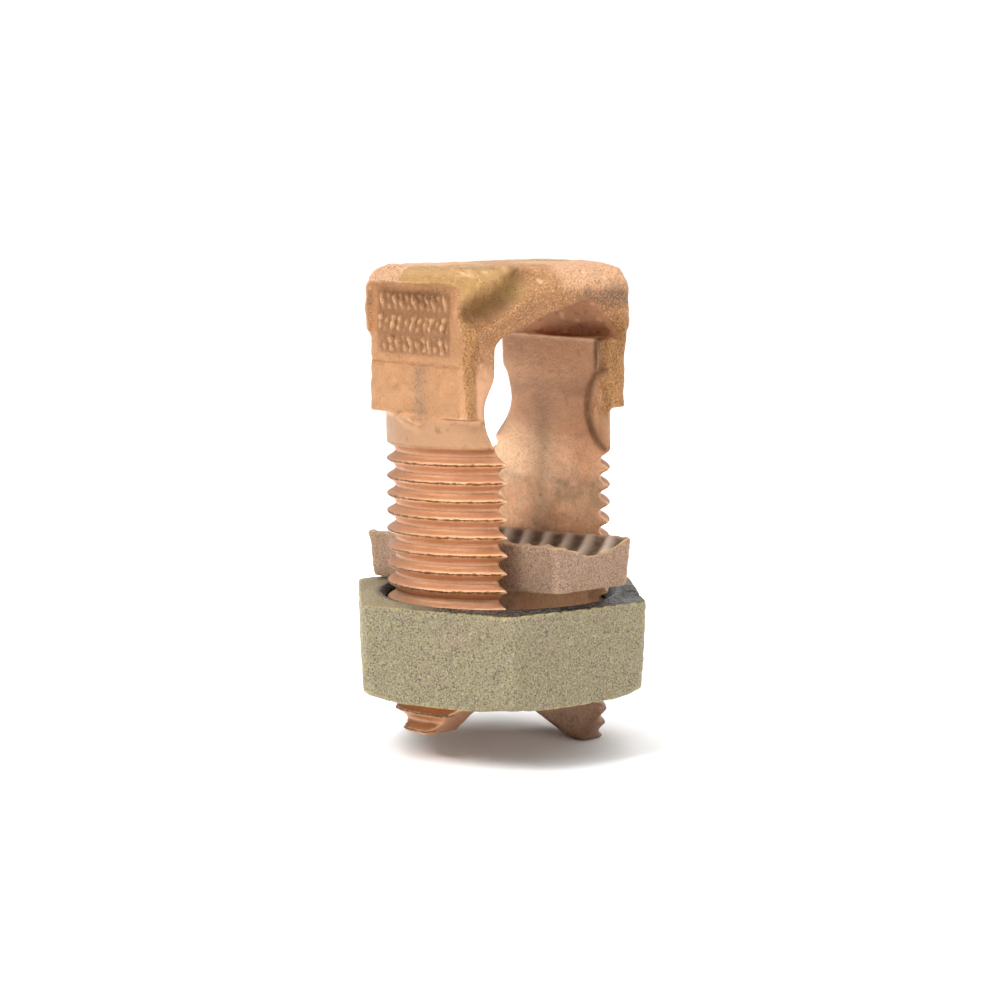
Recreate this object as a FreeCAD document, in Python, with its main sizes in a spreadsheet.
import FreeCAD, Part
import math
import os

import Sketcher

# A split-bolt grounding connector: a forged bolt with a slot down its middle, a hexagon nut on its
# two threaded legs, and a pressure bar that rides in the slot on top of the nut.
# Frame: +Z runs up the bolt's axis to the crown, the slot runs along X and the legs stand at +Y and -Y.
# The origin is on the axis, level with the end of the longer leg. Lengths are millimetres.

SIZES = [
    ("overall_height", 58.4, "end of the longer leg to the top of the crown"),
    ("leg_difference", 3.0, "how much shorter the leg at -Y is"),
    ("thread_diameter", 26.9, "over the crests"),
    ("thread_pitch", 2.1167, "twelve turns to the inch"),
    ("thread_top", 36.8, "height where the thread runs out"),
    ("thread_phase", 0.95, "height of a groove where it crosses +X"),
    ("slot_width", 16.0, "between the inner faces of the legs"),
    ("shoulder_height", 41.0, "lower edge of the outer flats"),
    ("shoulder_diameter", 30.6, "round of the crown above the shoulder"),
    ("crown_width", 17.8, "crown along the slot"),
    ("head_diameter", 31.7, "round of the head"),
    ("head_height", 8.2, "top of the crown to the underside of the head's roll"),
    ("head_round", 3.2, "fillet on the head's edges"),
    ("crown_thickness", 7.0, "metal over the top of the conductor seat"),
    ("pad_span", 26.0, "across the outer flats"),
    ("pad_width", 16.0, "width of each outer flat"),
    ("pad_top_gap", 2.0, "top of each outer flat to the top of the crown"),
    ("waist_height", 41.4, "middle of the scoops in the legs' edges"),
    ("waist_width", 13.2, "flat left between the scoops"),
    ("scoop_radius", 6.0, "scoop at the inner face"),
    ("scoop_depth", 3.6, "scoop into the leg"),
    ("tip_flat", 3.0, "width of the flat end of each leg"),
    ("near_tip_offset", 0.0, "end of the leg at -Y, along the slot"),
    ("far_tip_offset", 5.0, "end of the leg at +Y, along the slot"),
    ("near_low_slope", 42.0, "slope of the end of the leg at -Y, on its -X side"),
    ("near_high_slope", 40.0, "slope of the end of the leg at -Y, on its +X side"),
    ("far_low_slope", 20.0, "slope of the end of the leg at +Y, on its -X side"),
    ("far_high_slope", 55.0, "slope of the end of the leg at +Y, on its +X side"),
    ("nut_across_flats", 33.7, "one and five sixteenths of an inch, with cast draft"),
    ("nut_height", 11.5, "thickness of the nut"),
    ("nut_position", 7.5, "underside of the nut"),
    ("nut_angle", 22.3, "turn of the nut's corners from +X"),
    ("nut_draft", 2.0, "cast draft of the nut's sides"),
    ("nut_corner_break", 0.35, "softening of the nut's corners"),
    ("nut_end_diameter", 33.8, "circle where the chamfer meets the underside"),
    ("nut_chamfer_angle", 30.0, "slope of the underside's chamfer"),
    ("countersink_depth", 1.3, "countersink at each end of the nut's bore"),
    ("thread_radial_clearance", 0.2, "nut to bolt, crest to root"),
    ("thread_flank_clearance", 0.12, "nut to bolt, along the axis"),
    ("bar_length", 34.7, "pressure bar along the slot"),
    ("bar_offset", -0.25, "middle of the bar along the slot, where it lies off the axis"),
    ("bar_side_clearance", 1.74, "pressure bar to each leg"),
    ("bar_thickness", 5.6, "pressure bar at its rims"),
    ("bar_draft", 5.0, "cast draft of the bar's sides and ends"),
    ("bar_tilt", 2.9, "the bar lies tipped on the nut, +X end up"),
    ("bar_nut_clearance", 0.3, "bar to nut at the bar's lower end"),
    ("trough_radius", 9.6, "seat for the tap conductor"),
    ("trough_depth", 1.4, "seat below the bar's rims"),
    ("bar_edge_round", 0.7, "fillet on the bar's corners"),
]

# A 60 degree thread: depth, crest and root as shares of the pitch.
THREAD_DEPTH_SHARE = 0.5413
CREST_SHARE = 0.125
FLANK_SLOPE = math.tan(math.radians(30))
# How far a cutter runs past the face that it opens.
RUN_PAST = 2.0
# How far a thread cutter runs past the surface, as a share of the pitch.
THREAD_RUN_PAST = 0.06
# How fast the nut's upper countersink spreads, as a share of its depth.
COUNTERSINK_SPREAD = 1.3
# The bottom of the bolt's thread, from the sheet's values.
ROOT_RADIUS = "(sizes.thread_diameter / 2 - %g * sizes.thread_pitch)" % THREAD_DEPTH_SHARE

doc = FreeCAD.newDocument("split_bolt_connector")
sheet = doc.addObject("Spreadsheet::Sheet", "sizes")
for row, (alias, value, note) in enumerate(SIZES, start=1):
    sheet.set("A%d" % row, note)
    sheet.set("B%d" % row, str(value))
    sheet.setAlias("B%d" % row, alias)
doc.recompute()


def size(alias):
    """A driving dimension's value."""
    return float(getattr(sheet, alias))


def add(kind, name, **expressions):
    """A document object whose properties follow the sheet; a double underscore stands for a dot."""
    made = doc.addObject(kind, name)
    for prop, expression in expressions.items():
        made.setExpression(prop.replace("__", "."), expression)
    return made


def turn_axis(made, axis, angle):
    """Turn an object about a fixed direction, by an angle that may be an expression."""
    made.Placement = FreeCAD.Placement(FreeCAD.Vector(), FreeCAD.Rotation(axis, 10))
    made.setExpression("Placement.Rotation.Angle", angle)


def fuse(name, *pieces):
    made = doc.addObject("Part::MultiFuse", name)
    made.Shapes = list(pieces)
    return made


def common(name, *pieces):
    made = doc.addObject("Part::MultiCommon", name)
    made.Shapes = list(pieces)
    return made


def cut(name, base, *tools):
    """The base with all the tools taken away."""
    made = doc.addObject("Part::Cut", name)
    made.Base = base
    made.Tool = tools[0] if len(tools) == 1 else fuse(name + "_tools", *tools)
    return made


def origin_plane(body, role):
    """The body's own origin plane or axis with this role."""
    return next(item for item in body.Origin.OriginFeatures if item.Role == role)


def new_sketch(body, name, role):
    sketch = body.newObject("Sketcher::SketchObject", name)
    sketch.AttachmentSupport = [(origin_plane(body, role), "")]
    sketch.MapMode = "FlatFace"
    return sketch


def driven(sketch, constraint, expression):
    """Add a dimension to a sketch and bind it to the sheet."""
    index = sketch.addConstraint(constraint)
    sketch.setExpression("Constraints[%d]" % index, expression)


def helical_groove(body, name, inner, inner_width, outer, outer_width, low, high, phase):
    """Cut a right-hand groove about Z; its section repeats each pitch and is centred on +X at the phase."""
    start = ("(%s + sizes.thread_pitch * (floor((%s - %s) / sizes.thread_pitch) - 1))" % (phase, low, phase))
    sketch = new_sketch(body, name + "_section", "XZ_Plane")
    corners = [(0.8, -0.1), (1.0, -0.4), (1.0, 0.4), (0.8, 0.1)]
    points = [FreeCAD.Vector(size("thread_diameter") / 2 * x, size("thread_pitch") * y, 0) for x, y in corners]
    lines = [sketch.addGeometry(Part.LineSegment(points[index - 1], points[index])) for index in range(4)]
    for index in range(4):
        sketch.addConstraint(Sketcher.Constraint("Coincident", lines[index - 1], 2, lines[index], 1))
    inner_line, outer_line = lines[0], lines[2]
    for line in (inner_line, outer_line):
        sketch.addConstraint(Sketcher.Constraint("Symmetric", line, 1, line, 2, -1))
    driven(sketch, Sketcher.Constraint("DistanceX", -1, 1, inner_line, 1, points[0].x), inner)
    driven(sketch, Sketcher.Constraint("DistanceX", -1, 1, outer_line, 1, points[1].x), outer)
    driven(sketch, Sketcher.Constraint("DistanceY", inner_line, 2, inner_line, 1, 2 * points[3].y), inner_width)
    driven(sketch, Sketcher.Constraint("DistanceY", outer_line, 1, outer_line, 2, 2 * points[2].y), outer_width)
    sketch.setExpression("AttachmentOffset.Base.y", start)
    doc.recompute()
    groove = body.newObject("PartDesign::SubtractiveHelix", name)
    groove.Profile = sketch
    groove.ReferenceAxis = (sketch, ["V_Axis"])
    groove.Mode = 0
    groove.setExpression("Pitch", "sizes.thread_pitch")
    groove.setExpression("Height", "%s - %s" % (high, start))
    body.Tip = groove


def crown_outline(body, name, diameter):
    """A circle with two straight sides, centred on the axis: the crown seen from above."""
    sketch = new_sketch(body, name, "XY_Plane")
    radius = size(diameter) / 2
    half = size("crown_width") / 2
    corner = math.acos(half / radius)
    centre = FreeCAD.Vector(0, 0, 0)
    up = FreeCAD.Vector(0, 0, 1)
    circle = Part.Circle(centre, up, radius)
    far = sketch.addGeometry(Part.ArcOfCircle(circle, corner, math.pi - corner))
    near = sketch.addGeometry(Part.ArcOfCircle(circle, math.pi + corner, 2 * math.pi - corner))
    reach = radius * math.sin(corner)
    left = sketch.addGeometry(Part.LineSegment(FreeCAD.Vector(-half, reach, 0), FreeCAD.Vector(-half, -reach, 0)))
    right = sketch.addGeometry(Part.LineSegment(FreeCAD.Vector(half, -reach, 0), FreeCAD.Vector(half, reach, 0)))
    for first, end, second, other in ((far, 2, left, 1), (left, 2, near, 1), (near, 2, right, 1), (right, 2, far, 1)):
        sketch.addConstraint(Sketcher.Constraint("Coincident", first, end, second, other))
    for arc in (far, near):
        sketch.addConstraint(Sketcher.Constraint("Coincident", arc, 3, -1, 1))
    for line in (left, right):
        sketch.addConstraint(Sketcher.Constraint("Vertical", line))
    sketch.addConstraint(Sketcher.Constraint("Equal", far, near))
    driven(sketch, Sketcher.Constraint("Radius", far, radius), "sizes.%s / 2" % diameter)
    driven(sketch, Sketcher.Constraint("DistanceX", left, 1, -1, 1, half), "sizes.crown_width / 2")
    driven(sketch, Sketcher.Constraint("DistanceX", -1, 1, right, 2, half), "sizes.crown_width / 2")
    return sketch


def edge_names(shape, wanted):
    """The names of the edges that pass a test of their middle point and their two ends."""
    names = []
    for number, edge in enumerate(shape.Edges, start=1):
        middle = edge.valueAt((edge.FirstParameter + edge.LastParameter) / 2)
        if wanted(edge, middle):
            names.append("Edge%d" % number)
    return names


def make_crown():
    """The crown over the slot: a waisted block with a wider, rounded head."""
    body = doc.addObject("PartDesign::Body", "crown")
    shank = crown_outline(body, "crown_shank_outline", "shoulder_diameter")
    shank.setExpression("AttachmentOffset.Base.z", "sizes.shoulder_height")
    block = body.newObject("PartDesign::Pad", "crown_shank")
    block.Profile = shank
    block.setExpression("Length", "sizes.overall_height - sizes.head_height / 2 - sizes.shoulder_height")
    outline = crown_outline(body, "head_outline", "head_diameter")
    outline.setExpression("AttachmentOffset.Base.z", "sizes.overall_height - sizes.head_height")
    head = body.newObject("PartDesign::Pad", "head_block")
    head.Profile = outline
    head.setExpression("Length", "sizes.head_height")
    doc.recompute()
    top = size("overall_height")
    names = edge_names(head.Shape, lambda edge, middle: middle.z > top - 1e-6)
    rounded = body.newObject("PartDesign::Fillet", "head_fillet")
    rounded.Base = (head, names)
    rounded.setExpression("Radius", "sizes.head_round")
    body.Tip = rounded
    return body


def side_sign(side):
    return "-" if side < 0 else ""


def make_scoop(name, end, side):
    """A conical scoop in one edge of a leg's inner face; end is the X side, side the Y side."""
    scoop = add("Part::Cone", name, Radius1="sizes.scoop_radius", Radius2="sizes.scoop_radius / 3",
                Height="sizes.scoop_depth")
    scoop.Placement = FreeCAD.Placement(FreeCAD.Vector(), FreeCAD.Rotation(FreeCAD.Vector(1, 0, 0), -90 * side))
    reach = "sizes.waist_width / 2 + sizes.scoop_radius"
    scoop.setExpression("Placement.Base.x", "%s(%s)" % (side_sign(end), reach))
    scoop.setExpression("Placement.Base.y", "%s(sizes.slot_width / 2)" % side_sign(side))
    scoop.setExpression("Placement.Base.z", "sizes.waist_height")
    return scoop


def make_outer_flat(name, side):
    """The block of space outside one of the crown's outer flats."""
    flat = add("Part::Box", name, Length="sizes.pad_width", Width="sizes.head_diameter",
               Height="sizes.overall_height - sizes.pad_top_gap - sizes.shoulder_height",
               Placement__Base__x="-sizes.pad_width / 2", Placement__Base__z="sizes.shoulder_height")
    start = "sizes.pad_span / 2" if side > 0 else "-sizes.pad_span / 2 - sizes.head_diameter"
    flat.setExpression("Placement.Base.y", start)
    return flat


def make_leg_end(name, side, offset, level, slopes):
    """Three cutters that leave a leg's end as a tongue: below it, and under each sloping side."""
    span = "sizes.thread_diameter"
    deep = "sizes.thread_diameter / 2"
    start = "0" if side > 0 else "-sizes.thread_diameter"
    cutters = []
    below = add("Part::Box", name + "_below", Length="2 * " + span, Width=span, Height=deep,
                Placement__Base__x="-" + span, Placement__Base__y=start,
                Placement__Base__z="%s - %s" % (level, deep))
    cutters.append(below)
    for end, slope in zip((-1, 1), slopes):
        angle = "sizes.%s" % slope
        flank = add("Part::Box", "%s_flank_%s" % (name, "low" if end < 0 else "high"), Length=span, Width=span,
                    Height=deep)
        turn_axis(flank, FreeCAD.Vector(0, -end, 0), angle + " * 1 deg")
        corner = "%s + %d * sizes.tip_flat / 2" % (offset, end)
        across = "%s * sin(%s * 1 deg)" % (deep, angle)
        down = "%s * cos(%s * 1 deg)" % (deep, angle)
        if end > 0:
            flank.setExpression("Placement.Base.x", "%s + %s" % (corner, across))
            flank.setExpression("Placement.Base.z", "%s - %s" % (level, down))
        else:
            back = "%s * cos(%s * 1 deg)" % (span, angle)
            rise = "%s * sin(%s * 1 deg)" % (span, angle)
            flank.setExpression("Placement.Base.x", "%s - %s - %s" % (corner, back, across))
            flank.setExpression("Placement.Base.z", "%s + %s - %s" % (level, rise, down))
        flank.setExpression("Placement.Base.y", start)
        cutters.append(flank)
    return cutters


def make_split_bolt():
    """The forged bolt: crown, two threaded legs and the slot between them."""
    shank = add("Part::Cylinder", "shank", Radius="sizes.thread_diameter / 2", Height="sizes.shoulder_height")
    blank = fuse("bolt_blank", shank, make_crown())
    seat_height = "sizes.overall_height - sizes.crown_thickness - sizes.slot_width / 2"
    slot = add("Part::Box", "conductor_slot", Length="2 * sizes.head_diameter", Width="sizes.slot_width",
               Height="%s + %g" % (seat_height, RUN_PAST),
               Placement__Base__x="-sizes.head_diameter", Placement__Base__y="-sizes.slot_width / 2",
               Placement__Base__z="-%g" % RUN_PAST)
    seat = add("Part::Cylinder", "conductor_seat", Radius="sizes.slot_width / 2", Height="2 * sizes.head_diameter",
               Placement__Base__x="-sizes.head_diameter", Placement__Base__z=seat_height)
    seat.Placement.Rotation = FreeCAD.Rotation(FreeCAD.Vector(0, 1, 0), 90)
    tools = [slot, seat]
    tools += [make_scoop("scoop_%d_%d" % (end > 0, side > 0), end, side) for end in (-1, 1) for side in (-1, 1)]
    tools += [make_outer_flat("outer_flat_near", -1), make_outer_flat("outer_flat_far", 1)]
    tools += make_leg_end("near_end", -1, "sizes.near_tip_offset", "sizes.leg_difference",
                          ("near_low_slope", "near_high_slope"))
    tools += make_leg_end("far_end", 1, "sizes.far_tip_offset", "0", ("far_low_slope", "far_high_slope"))
    bolt = doc.addObject("PartDesign::Body", "split_bolt")
    bolt.BaseFeature = cut("shaped_bolt", blank, *tools)
    doc.recompute()
    mouth = "%g * sizes.thread_pitch" % (1 - CREST_SHARE)
    root_width = "%g * sizes.thread_pitch" % (1 - CREST_SHARE - 2 * FLANK_SLOPE * THREAD_DEPTH_SHARE)
    outer_width = "%s + %g * sizes.thread_pitch" % (mouth, 2 * FLANK_SLOPE * THREAD_RUN_PAST)
    outer = "sizes.thread_diameter / 2 + %g * sizes.thread_pitch" % THREAD_RUN_PAST
    helical_groove(bolt, "bolt_thread", ROOT_RADIUS, root_width, outer, outer_width,
                   "0", "sizes.thread_top", "sizes.thread_phase")
    bolt.Label = "split_bolt"
    return bolt


def make_nut():
    """The cast hexagon nut, with a chamfered underside and a countersunk, threaded bore."""
    corner = "sizes.nut_across_flats / 2 / cos(30 deg)"
    outline = add("Part::RegularPolygon", "nut_outline", Circumradius=corner)
    outline.Polygon = 6
    hexagon = add("Part::Extrusion", "nut_hexagon", LengthFwd="sizes.nut_height", TaperAngle="-sizes.nut_draft * 1 deg")
    hexagon.Base = outline
    hexagon.DirMode = "Custom"
    hexagon.Dir = FreeCAD.Vector(0, 0, -1)
    hexagon.Solid = True
    hexagon.setExpression("Placement.Base.z", "sizes.nut_position + sizes.nut_height")
    turn_axis(hexagon, FreeCAD.Vector(0, 0, 1), "sizes.nut_angle * 1 deg")
    top_radius = corner + " - sizes.nut_corner_break"
    soft = add("Part::Cone", "nut_corner_round", Height="sizes.nut_height", Radius2=top_radius,
               Radius1="%s - sizes.nut_height * tan(sizes.nut_draft * 1 deg)" % top_radius,
               Placement__Base__z="sizes.nut_position")
    chamfer = add("Part::Cone", "nut_underside_chamfer", Height="sizes.nut_height",
                  Radius1="sizes.nut_end_diameter / 2",
                  Radius2="sizes.nut_end_diameter / 2 + sizes.nut_height / tan(sizes.nut_chamfer_angle * 1 deg)",
                  Placement__Base__z="sizes.nut_position")
    blank = common("nut_blank", hexagon, soft, chamfer)
    bore_radius = ROOT_RADIUS + " + sizes.thread_radial_clearance"
    bore = add("Part::Cylinder", "nut_bore", Radius=bore_radius, Height="sizes.nut_height + %g" % (2 * RUN_PAST),
               Placement__Base__z="sizes.nut_position - %g" % RUN_PAST)
    upper = add("Part::Cone", "upper_countersink", Height="2 * sizes.countersink_depth", Radius1=bore_radius,
                Radius2="%s + %g * sizes.countersink_depth" % (bore_radius, 2 * COUNTERSINK_SPREAD),
                Placement__Base__z="sizes.nut_position + sizes.nut_height - sizes.countersink_depth")
    lower = add("Part::Cone", "lower_countersink", Height="2 * sizes.countersink_depth",
                Radius1=bore_radius + " + 2 * sizes.countersink_depth", Radius2=bore_radius,
                Placement__Base__z="sizes.nut_position - sizes.countersink_depth")
    nut = doc.addObject("PartDesign::Body", "nut")
    nut.BaseFeature = cut("bored_nut", blank, bore, upper, lower)
    doc.recompute()
    inner = "(%s - %g * sizes.thread_pitch)" % (bore_radius, THREAD_RUN_PAST)
    outer = "(sizes.thread_diameter / 2 + sizes.thread_radial_clearance)"
    outer_width = "(%g * sizes.thread_pitch + 2 * sizes.thread_flank_clearance)" % CREST_SHARE
    inner_width = "%s + %g * (sizes.thread_diameter / 2 - %s)" % (outer_width, 2 * FLANK_SLOPE, inner)
    helical_groove(nut, "nut_thread", inner, inner_width, outer, outer_width, "sizes.nut_position",
                   "sizes.nut_position + sizes.nut_height + 2 * sizes.thread_pitch",
                   "(sizes.thread_phase + sizes.thread_pitch / 2)")
    nut.Label = "nut"
    return nut


def make_pressure_bar():
    """The cast bar: drafted sides and ends, and a rounded trough along its top."""
    body = doc.addObject("PartDesign::Body", "pressure_bar")
    sketch = new_sketch(body, "bar_outline", "XY_Plane")
    half_length = size("bar_length") / 2
    half_width = size("slot_width") / 2 - size("bar_side_clearance")
    corners = [(-half_length, -half_width), (half_length, -half_width),
               (half_length, half_width), (-half_length, half_width)]
    points = [FreeCAD.Vector(*corner, 0) for corner in corners]
    lines = [sketch.addGeometry(Part.LineSegment(points[index - 1], points[index])) for index in range(4)]
    for index in range(4):
        sketch.addConstraint(Sketcher.Constraint("Coincident", lines[index - 1], 2, lines[index], 1))
    for index in (0, 2):
        sketch.addConstraint(Sketcher.Constraint("Vertical", lines[index]))
        sketch.addConstraint(Sketcher.Constraint("Horizontal", lines[index + 1]))
    sketch.addConstraint(Sketcher.Constraint("Symmetric", lines[1], 1, lines[3], 1, -1, 1))
    driven(sketch, Sketcher.Constraint("DistanceX", lines[1], 1, lines[1], 2, 2 * half_length), "sizes.bar_length")
    driven(sketch, Sketcher.Constraint("DistanceY", lines[2], 1, lines[2], 2, 2 * half_width),
           "sizes.slot_width - 2 * sizes.bar_side_clearance")
    sketch.setExpression("AttachmentOffset.Base.z", "sizes.bar_thickness")
    block = body.newObject("PartDesign::Pad", "bar_block")
    block.Profile = sketch
    block.Reversed = True
    block.setExpression("Length", "sizes.bar_thickness")
    block.setExpression("TaperAngle", "-sizes.bar_draft * 1 deg")
    doc.recompute()
    uprights = edge_names(block.Shape, lambda edge, middle: abs(edge.Vertexes[0].Z - edge.Vertexes[-1].Z) > 1)
    rounded = body.newObject("PartDesign::Fillet", "bar_corners")
    rounded.Base = (block, uprights)
    rounded.setExpression("Radius", "sizes.bar_edge_round")
    trough = body.newObject("PartDesign::SubtractiveCylinder", "bar_trough")
    trough.AttachmentSupport = [(origin_plane(body, "YZ_Plane"), "")]
    trough.MapMode = "FlatFace"
    trough.setExpression("Radius", "sizes.trough_radius")
    trough.setExpression("Height", "2 * sizes.bar_length")
    trough.setExpression("AttachmentOffset.Base.y", "sizes.bar_thickness - sizes.trough_depth + sizes.trough_radius")
    trough.setExpression("AttachmentOffset.Base.z", "-sizes.bar_length")
    body.Tip = trough
    turn_axis(body, FreeCAD.Vector(0, -1, 0), "sizes.bar_tilt * 1 deg")
    body.setExpression("Placement.Base.x", "sizes.bar_offset")
    body.setExpression("Placement.Base.z", "sizes.nut_position + sizes.nut_height + sizes.bar_nut_clearance"
                       " + (sizes.bar_length / 2 - sizes.bar_thickness * tan(sizes.bar_draft * 1 deg))"
                       " * sin(sizes.bar_tilt * 1 deg)")
    body.Label = "pressure_bar"
    return body


parts = [make_split_bolt(), make_pressure_bar(), make_nut()]
doc.recompute()

for item in doc.Objects:
    if "Invalid" in item.State or "Error" in item.State:
        raise RuntimeError("%s failed: %s" % (item.Name, item.getStatusString()))
for part in parts:
    if part.Shape.isNull() or not part.Shape.isValid():
        raise RuntimeError("%s has no valid shape" % part.Label)

os.makedirs("parts", exist_ok=True)
for part in parts:
    part.Shape.exportStep("parts/%s.step" % part.Label)
    box = part.Shape.optimalBoundingBox(True, False)
    print("%s: %d solid, %.1f mm3, x %.2f..%.2f y %.2f..%.2f z %.2f..%.2f" % (
        part.Label, len(part.Shape.Solids), part.Shape.Volume,
        box.XMin, box.XMax, box.YMin, box.YMax, box.ZMin, box.ZMax))
